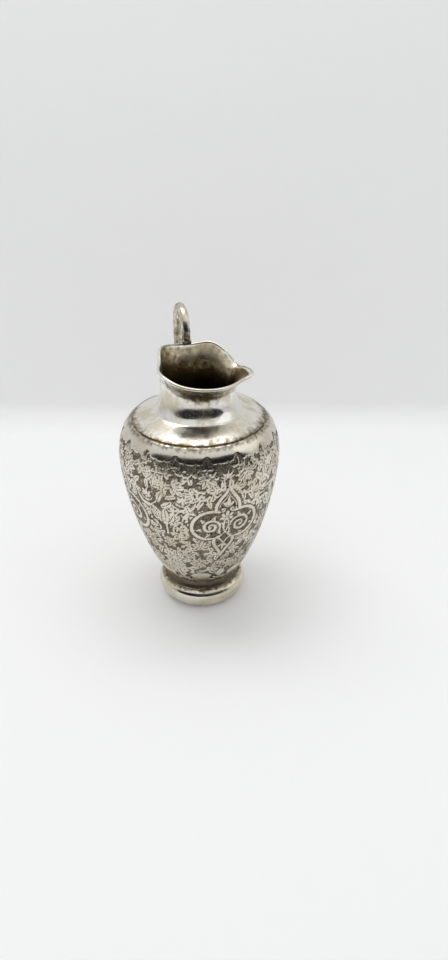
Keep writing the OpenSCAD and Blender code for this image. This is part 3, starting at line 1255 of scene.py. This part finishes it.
@dataclass
class NeckAndMouth(Piece):
    """The domed shoulder, the neck and the flared mouth, drawn from one sheet."""

    neck_r: float = 12.6
    neck_z: float = 83.4
    mouth_r: float = 15.9
    rim_z: float = 90.9
    rim_tilt: float = 2.3
    rim_high_at: float = 140.0
    lip_reach: float = 2.3
    lip_spread: float = 13.0
    back_inset: float = 2.9
    back_spread: float = 33.0
    rim_waves: tuple = ((38, 16, -2.6), (80, 17, 1.7), (158, 22, 1.5), (232, 20, 0.8))
    skirt: float = 0.6
    bend_at: tuple = (15.0, 77.0)
    opening: tuple = (0.45, 0.72)
    sheet: float = 0.8
    bead_r: float = 0.55
    hammer_depth: float = 0.06
    columns: int = 320

    def rim_radius(self, angle: np.ndarray | float) -> np.ndarray:
        """The mouth's radius in a direction."""
        lip = self.lip_reach * bump(angle, 0, self.lip_spread)
        return self.mouth_r + lip - self.back_inset * bump(angle, 188, self.back_spread)

    def rim_height(self, angle: np.ndarray | float) -> np.ndarray:
        """The rim's height in a direction.

        Args:
            angle: The direction.

        Returns:
            The height.
        """
        waves = sum(rise * bump(angle, at, spread) for at, spread, rise in self.rim_waves)
        tilt = self.rim_tilt * np.cos(np.radians(np.asarray(angle) - self.rim_high_at))
        return self.rim_z + tilt + waves

    def section(self, angle: float) -> tuple[np.ndarray, int]:
        """The closed section of the sheet in a direction.

        Args:
            angle: The direction from the lip.

        Returns:
            The points, up the outside, round the rim's bead and down the inside, and how many of
            them are outside.
        """
        s = self.sizes
        r, z = self.bend_at
        dome = bezier([(s.seam_r, s.seam_z + self.skirt), (s.seam_r - 3.2, s.seam_z + self.skirt + 1.6),
                       (r + 0.9, z - 0.9), self.bend_at], 20)[:-1]
        flare = bezier([self.bend_at, (r - 1.6, z + 1.6), (self.neck_r, self.neck_z - 2.8),
                        (self.neck_r, self.neck_z)], 20)[:-1]
        dr = float(self.rim_radius(angle)) - self.neck_r
        dz = float(self.rim_height(angle)) - self.neck_z
        low, high = self.opening
        mouth = bezier([(self.neck_r, self.neck_z), (self.neck_r, self.neck_z + low * dz),
                        (self.neck_r + low * dr, self.neck_z + high * dz),
                        (self.neck_r + dr, self.neck_z + dz)], 26)
        outer = np.concatenate([[(s.seam_r, s.seam_z)], dome, flare, mouth])
        inner = moved_left(outer, self.sheet)
        middle = (outer[-1] + inner[-1]) / 2
        way = headings(outer)[-1]
        side = np.array([way[1], -way[0]])
        turns = np.radians(np.linspace(14, 166, 9))
        bead = middle + self.bead_r * (np.cos(turns)[:, None] * side + np.sin(turns)[:, None] * way)
        base_r = s.seam_r - self.sheet
        base = np.array([(base_r, s.seam_z + self.skirt), (base_r, s.seam_z)])
        return np.concatenate([outer, bead, inner[:1:-1], base]), len(outer)

    def make(self) -> None:
        """Builds the sheet, with tarnish where a cloth doesn't reach, painted shade under the rim and
        painted shade deep in the mouth.
        """
        s = self.sizes
        angle = directions(self.columns)
        sections, outside = zip(*(self.section(a) for a in angle))
        grid = np.stack(sections, 1)
        rim = self.rim_height(angle)
        mesh = RingMesh()
        rings = []
        for k, line in enumerate(grid):
            height = line[:, 1]
            out = k < outside[0]
            uneven = ripple(angle, height, self.hammer_depth, 9) * smooth(height, s.seam_z + 1, s.seam_z + 3)
            radius = line[:, 0] - uneven * (1 if out else 0)
            below = rim - height
            # Brown under the rim's overhang, strongest on the side that faces the camera: painted shade,
            # with some tarnish, carried in the tarnish value.
            under_rim_shade = bump(angle, -78, 46) + 0.8 * bump(angle, 60, 26) + 0.5 * bump(angle, 190, 40)
            if out:
                darkening = 0.62 * under_rim_shade * hill(below, 3.0, 2.6)
                darkening += 0.6 * hill(height, s.seam_z, 1.3) + 0.16
                pits, film = 0.3 + 0.4 * darkening, 0.0
            else:
                # Inside, darker the deeper it lies below the rim: painted shade in the bore, over the
                # tarnish of the unpolished inside; darker too towards the back and behind the lip.
                darkening = 0.36 + 0.45 * smooth(below, 3, 10) + 0.16 * bump(angle, 170, 50)
                darkening = (darkening + 0.55 * bump(angle, 6, 30)) * smooth(below, -0.5, 0.1)
                pits, film = 0.3 + 0.2 * smooth(below, 3, 9), smooth(below, 0.0, 0.8)
            ring = lathe_ring(radius, height, self.columns)
            rings.append(mesh.ring(ring, film=film, tarnish=darkening, pits=pits))
        mesh.stack(rings, closed=True)
        finish = SilverFinish(
            # Silver sheet, planished with a polished hammer: soft wavering reflections.
            name="planished silver sheet, hand polished", roughness=0.13, dull_roughness=0.3,
            film="#c9bea2", film_share=0.7, film_size=6.0, dent_depth=0.03, dent_size=4.0,
            tarnish_size=1.9,
        )
        made = mesh.build("shoulder_neck_mouth")
        self.place(made, finish, "planished_silver", "shoulder_and_neck")


@dataclass
class RolledFoot(Piece):
    """The foot: sheet rolled into a ring, bulging above its resting edge."""

    top_r: float = 14.7
    bulge_z: float = 5.2
    tread: float = 3.7
    edge_w: float = 0.8
    hammer_depth: float = 0.08
    columns: int = 288

    def profile(self) -> np.ndarray:
        """The ring's closed section, down the outside and up the inside.

        Returns:
            The radius and height of each of its points.
        """
        s = self.sizes
        tread_r = s.foot_r - self.tread
        outside = bezier([(self.top_r, s.foot_h), (self.top_r + 0.8, s.foot_h - 0.7),
                          (s.foot_r, s.foot_h - 1.3), (s.foot_r, self.bulge_z)], 26)
        under = bezier([(s.foot_r, self.bulge_z), (s.foot_r, 3.3), (tread_r + 1.9, 0.7),
                        (tread_r, 0)], 18)
        inside = [(tread_r - self.edge_w, 0), (tread_r - self.edge_w - 0.2, 0.7),
                  (s.foot_r - 2.9, self.bulge_z + 0.3), (self.collar_r - self.collar_w, s.foot_h - 2),
                  (self.collar_r - self.collar_w, s.foot_h)]
        return np.concatenate([outside, under[1:], inside])

    def make(self) -> None:
        """Builds the ring, stained where it meets the body."""
        s = self.sizes
        angle = directions(self.columns)
        mesh = RingMesh()
        rings = []
        for r, z in self.profile():
            uneven = ripple(angle, z, self.hammer_depth, 21) * smooth(z, 0.3, 2.0)
            uneven = uneven * (r > self.collar_r)
            darkening = 0.45 * hill(z, s.foot_h, 0.8) + 0.25 * hill(z, 0.0, 0.8)
            darkening = darkening + 0.04 + 0.12 * ripple(angle, z * 2, 1.0, 17)
            ring = lathe_ring(r - uneven, z, self.columns)
            rings.append(mesh.ring(ring, tarnish=darkening, pits=0.25 + 0.35 * darkening))
        mesh.stack(rings[::-1], closed=True)
        finish = SilverFinish(
            # Silver sheet, rolled and burnished: long smooth reflections with table scuffs.
            name="rolled silver sheet, burnished", silver="#e6e0d2", film="#c9bd9d",
            roughness=0.13, dull_roughness=0.3, film_share=0.6, scratch_depth=0.006,
        )
        self.place(mesh.build("rolled_foot"), finish, "foot_silver", "foot_ring")


@dataclass
class LoopHandle(Piece):
    """The handle: a round rod from the rim seat, over an arch and down to the shoulder."""

    rod_r: float = 1.5
    arch_r: float = 7.0
    sweep_r: float = 66.0
    sweep_angle: float = 24.0
    sides: int = 28

    def line(self) -> np.ndarray:
        """The rod's centre line in its own upright plane.

        Returns:
            The distance from the axis and the height of each of its points.
        """
        s = self.sizes
        arch_z = s.rod_top - self.rod_r - self.arch_r
        outer = self.leg_r + 2 * self.arch_r
        up = [(self.leg_r, z) for z in np.linspace(s.seat_top, arch_z, 6)[:-1]]
        middle = self.leg_r + self.arch_r
        over = [(middle - self.arch_r * math.cos(t), arch_z + self.arch_r * math.sin(t))
                for t in np.linspace(0, math.pi, 40)]
        down = [(outer - self.sweep_r * (1 - math.cos(t)), arch_z - self.sweep_r * math.sin(t))
                for t in np.radians(np.linspace(0, self.sweep_angle, 46))[1:]]
        return np.array(up + over + down)

    def make(self) -> None:
        """Sweeps the rod along its line, brown on the side that faces the neck."""
        line = self.line()
        along, across = self.sizes.handle_plane()
        around = np.linspace(0, 2 * np.pi, self.sides, endpoint=False)
        mesh = RingMesh()
        rings = []
        for (x, z), (dx, dz), gone in zip(line, headings(line), arc_lengths(line)):
            swell = 1 - 0.025 * (1 + math.sin(gone * 0.55)) - 0.02 * math.sin(gone * 1.7)
            side = self.rod_r * swell * np.cos(around)
            inward = side[:, None] * (along * -dz)
            inward[:, 2] += side * dx
            outward = self.rod_r * swell * np.sin(around)[:, None] * across
            facing = -1 if x < self.leg_r + self.arch_r else 1
            inner = smooth(facing * side / self.rod_r, 0.1, 0.8)
            leg = 1 - smooth(gone, 2.0, 6.0)
            late = smooth(gone, 10.0, 20.0)
            darkening = np.clip(0.34 * leg + 0.3 * late * (0.4 + inner) + 0.28, 0, 1)
            ring = along * x + np.array([0, 0, z]) + inward + outward
            film = 0.3 * inner + 0.4 * late
            rings.append(mesh.ring(ring, film=film, tarnish=darkening, pits=0.5 * darkening))
        mesh.solid(rings)
        finish = SilverFinish(
            # Drawn silver rod, bent and rubbed bright by fingers on its outer side.
            name="drawn silver rod, bent and rubbed", roughness=0.15, dull_roughness=0.3,
            dent_size=2.2, dent_depth=0.02, film="#c4b99d", film_share=0.8, tarnish="#5d4c34",
        )
        self.place(mesh.build("loop_handle"), finish, "handle_silver", "handle")


@dataclass
class RimSeat(Piece):
    """The filed block between the rim and the handle's inner leg."""

    width: float = 2.8
    length: float = 3.3
    height: float = 1.4
    squareness: float = 0.42
    steps: tuple = ((0, 0.12), (0.12, 0.02), (0.5, 0.0), (1.1, 0.03), (1.28, 0.1), (1.4, 0.3))

    def make(self) -> None:
        """Builds the block with worn corners."""
        way, across = self.sizes.handle_plane()
        around = np.radians(np.arange(0, 360, 7.5))
        x, y = (np.sign(w) * np.abs(w) ** self.squareness for w in (np.cos(around), np.sin(around)))
        plan = np.stack([x * self.width / 2, y * self.length / 2], 1)
        mesh = RingMesh()
        rings = []
        for up, inset in self.steps:
            shrunk = plan * (1 - inset * 2 / self.length)
            ring = shrunk[:, :1] * way + shrunk[:, 1:] * across + self.leg_r * way
            ring[:, 2] = self.sizes.seat_top - self.height + up
            rings.append(mesh.ring(ring, tarnish=0.5, pits=0.3))
        mesh.solid(rings)
        finish = SilverFinish(
            # A filed silver block: dull grey with fine file strokes.
            name="silver block, filed", silver="#bdb8ad", film="#8f897c", roughness=0.34,
            dull_roughness=0.5, scratch_depth=0.02, film_size=2.0,
        )
        self.place(mesh.build("rim_seat_block"), finish, "seat_silver", "handle_rim_seat")


@dataclass
class SolderWork(Piece):
    """The solder at the jug's joints: two seam fillets, a blob on the rim and one at the shoulder."""

    fillet_w: float = 0.5
    fillet_h: float = 0.45
    landing_r: float = 24.9
    landing_z: float = 71.7
    columns: int = 300

    def finish(self, name: str) -> SilverFinish:
        """Dresses one run of solder.

        Args:
            name: The piece's name.

        Returns:
            The finish.
        """
        # Silver solder, flowed with a torch: yellower than the sheet, pitted and never polished.
        return SilverFinish(
            name=name + " silver solder, torch flowed", silver="#cfc39e", film="#a89870",
            tarnish="#4d3f28", roughness=0.26, dull_roughness=0.45, film_size=3.0, film_share=0.8,
            dent_size=0.9, dent_depth=0.06,
        )

    def seam(self, name: str, radius: float, height: float, node: str, seed: int) -> None:
        """Builds one fillet round the jug.

        Args:
            name: The piece's name.
            radius: The radius of the upright wall that it lies against.
            height: The height of the ledge that it lies on.
            node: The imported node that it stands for.
            seed: Chooses where the solder flowed thick or thin.
        """
        angle = directions(self.columns)
        flow = 1 - ripple(angle, 0.0, 0.75, seed) - 0.15 * ripple(angle * 3, 0.0, 1.0, seed + 1)
        wide, tall = self.fillet_w * flow, self.fillet_h * flow
        shares = [(0, 0), (1, 0), (0.62, 0.16), (0.3, 0.4), (0.12, 0.7), (0, 1)]
        mesh = RingMesh()
        darkening = 0.35 + 0.5 * ripple(angle, 3.0, 1.0, seed + 2)
        rings = []
        for a, b in shares:
            ring = lathe_ring(radius + wide * a, height + tall * b, self.columns)
            rings.append(mesh.ring(ring, tarnish=darkening, pits=darkening))
        mesh.stack(rings, closed=True)
        self.place(mesh.build(name), self.finish(name), "silver_solder", node)

    def blob(self, name: str, centre: tuple, axes: tuple, node: str, seed: int) -> None:
        """Builds one lump of solder, flattened against the metal behind it.

        Args:
            name: The piece's name.
            centre: Its distance from the jug's axis and its height, in the handle's plane.
            axes: Its radii outwards, sideways and up.
            node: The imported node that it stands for.
            seed: Chooses its unevenness.
        """
        way, across = self.sizes.handle_plane()
        mesh = RingMesh()
        rings = []
        around = np.linspace(0, 2 * np.pi, 40, endpoint=False)
        for lift in np.radians(np.linspace(-82, 82, 20)):
            lump = 1 - ripple(np.degrees(around), float(lift * 8), 0.12, seed)
            out = axes[0] * np.cos(lift) * np.cos(around) * lump
            side = axes[1] * np.cos(lift) * np.sin(around) * lump
            up = np.full(40, axes[2] * np.sin(lift))
            spot = (centre[0] + out)[:, None] * way + side[:, None] * across
            spot[:, 2] += centre[1] + up
            rings.append(mesh.ring(spot, tarnish=0.45, pits=0.4))
        mesh.solid(rings)
        self.place(mesh.build(name), self.finish(name), "silver_solder", node)

    def make(self) -> None:
        """Builds all four pieces of solder."""
        s = self.sizes
        self.seam("shoulder_seam_fillet", s.seam_r, s.seam_z, "shoulder_seam_solder", 31)
        self.seam("foot_seam_fillet", self.collar_r, s.foot_h, "foot_seam_solder", 47)
        self.blob("rim_seat_fillet", (self.leg_r + 0.9, s.seat_top - 1.5), (0.9, 1.3, 1.0),
                  "rim_seat_solder", 3)
        self.blob("handle_landing_fillet", (self.landing_r, self.landing_z), (2.1, 2.2, 2.0),
                  "handle_shoulder_solder", 8)


# ---------------------------------------------------------------- studio


@dataclass
class Studio:
    """A pale sweep, soft light all round, a darker room behind the camera, and the camera."""

    sizes: JugSizes
    camera_at: tuple = (31.15, -214.08, 177.59)
    camera_tilt: float = 59.0
    camera_turn: float = 6.0
    lens: float = 26.25
    wall_y: float = 141.0
    sweep_r: float = 14.0
    reach: float = 900.0
    room_r: float = 420.0
    room_half: float = 72.0
    room_middle: float = 13.0
    room_rise: float = 22.0
    lamps: tuple = (
        ("key softbox", (-90, 180, 400), 440, 2.1),
        ("side softbox", (330, 20, 300), 300, 0.1),
    )

    def camera(self) -> None:
        """Sets the camera."""
        data = bpy.data.cameras.new("camera")
        data.lens = self.lens
        data.sensor_width = 36.0
        data.clip_start = 0.01
        made = bpy.data.objects.new("camera", data)
        made.location = [c * MM for c in self.camera_at]
        made.rotation_euler = (math.radians(self.camera_tilt), 0, math.radians(self.camera_turn))
        bpy.context.scene.collection.objects.link(made)
        bpy.context.scene.camera = made

    def paper(self, name: str, colour: str, one_sided: bool) -> bpy.types.Material:
        """A matt card or paper.

        Args:
            name: The material's name.
            colour: Its colour.
            one_sided: Whether it can't be seen from behind.

        Returns:
            The material.
        """
        made = bpy.data.materials.new(name)
        tree = bare_tree(made)
        shader = add_node(tree, "BsdfDiffuse", {"Color": linear(colour)})
        if one_sided:
            back = add_node(tree, "NewGeometry", out="Backfacing")
            shader = add_node(tree, "MixShader", (back, shader, add_node(tree, "BsdfTransparent")))
        add_node(tree, "OutputMaterial", {"Surface": shader})
        return made

    def sheet(
        self, name: str, lines: list[np.ndarray], material: bpy.types.Material
    ) -> bpy.types.Object:
        """A surface through lines of points, which stands beside the jug and isn't part of it.

        Args:
            name: The object's name.
            lines: Its rows of points, in millimetres.
            material: What it is made of.

        Returns:
            The object.
        """
        count = len(lines[0])
        faces = [(r * count + c, r * count + c + 1, (r + 1) * count + c + 1, (r + 1) * count + c)
                 for r in range(len(lines) - 1) for c in range(count - 1)]
        mesh = bpy.data.meshes.new(name)
        mesh.from_pydata((np.concatenate(lines) * MM).tolist(), [], faces)
        mesh.shade_smooth()
        mesh.materials.append(material)
        made = bpy.data.objects.new(name, mesh)
        bpy.context.scene.collection.objects.link(made)
        return made

    def backdrop(self) -> None:
        """Builds the floor that sweeps up into the wall behind the jug."""
        bend = np.radians(np.linspace(0, 90, 13))
        start = self.wall_y - self.sweep_r
        y = np.concatenate([[-self.reach], start + self.sweep_r * np.sin(bend), [self.wall_y]])
        z = np.concatenate([[0.0], self.sweep_r * (1 - np.cos(bend)), [self.reach]])
        turn = math.radians(self.camera_turn)
        lines = []
        for a, b in zip(y, z):
            x = np.array([-self.reach, self.reach])
            lines.append(np.stack([x * math.cos(turn) - a * math.sin(turn),
                                   x * math.sin(turn) + a * math.cos(turn), np.full(2, b)], 1))
        # Matt white background paper: pale and even, with no gloss.
        self.sheet("backdrop", lines, self.paper("white paper sweep", "#f0f0f0", True))

    def room(self) -> None:
        """Builds the dark end of the room, which only the silver sees."""
        centre = math.degrees(math.atan2(self.camera_at[1], self.camera_at[0]))
        across = np.linspace(-1, 1, 41)
        way = np.radians(centre + self.room_half * across)
        eye = self.sizes.seam_z
        taper = np.sqrt(np.maximum(1 - np.abs(across) ** 3.0, 0.0))
        lines = []
        for share in np.linspace(-1, 1, 6):
            lift = np.radians(self.room_middle + self.room_rise * share * taper)
            z = eye + self.room_r * np.tan(lift)
            lines.append(np.stack([self.room_r * np.cos(way), self.room_r * np.sin(way), z], 1))
        # Black woven cloth: it gives the silver its dark bands.
        made = self.sheet("dark_room", lines, self.paper("dark cloth", "#1a191c", False))
        made.visible_camera = False
        made.visible_shadow = False
        made.visible_diffuse = False

    def lamp(self, name: str, spot: tuple, size: float, power: float) -> None:
        """Hangs a square soft lamp that looks at the jug's middle.

        Args:
            name: The lamp's name.
            spot: Where it hangs, in millimetres.
            size: The length of its side.
            power: Its power in watts.
        """
        data = bpy.data.lights.new(name, "AREA")
        data.size = size * MM
        data.energy = power
        made = bpy.data.objects.new(name, data)
        made.location = [c * MM for c in spot]
        aim = Vector((0, 0, self.sizes.belly_r * 2 * MM)) - made.location
        made.rotation_euler = aim.to_track_quat("-Z", "Y").to_euler()
        bpy.context.scene.collection.objects.link(made)

    def sky(self) -> None:
        """Surrounds the scene with soft white light, brighter above than at the sides."""
        world = bpy.data.worlds.new("white tent")
        bpy.context.scene.world = world
        add = partial(add_node, bare_tree(world))
        up = add("SeparateXYZ", (add("TexCoord", out="Generated"),), "Z")
        level = add("MapRange", (up, -0.1, 0.9, 0.58, 0.9))
        glow = add("Background", {"Color": linear("#fbfcfc"), "Strength": level})
        add("OutputWorld", {"Surface": glow})

    def make(self) -> None:
        """Builds the stage, the light and the camera."""
        self.backdrop()
        self.room()
        self.sky()
        for name, spot, size, power in self.lamps:
            self.lamp(name, spot, size, power)
        self.camera()
        bpy.context.scene.view_settings.view_transform = "Standard"
        LOG.info("studio: sweep, room, lamps and camera")


def main() -> None:
    """Builds every piece of the jug and its studio."""
    logging.basicConfig(level=logging.INFO, format="%(name)s: %(message)s")
    sizes = JugSizes.from_frame()
    for piece in (ChasedBody, NeckAndMouth, RolledFoot, LoopHandle, RimSeat, SolderWork):
        piece(sizes).make()
    Studio(sizes).make()


if __name__ == "__main__":
    main()
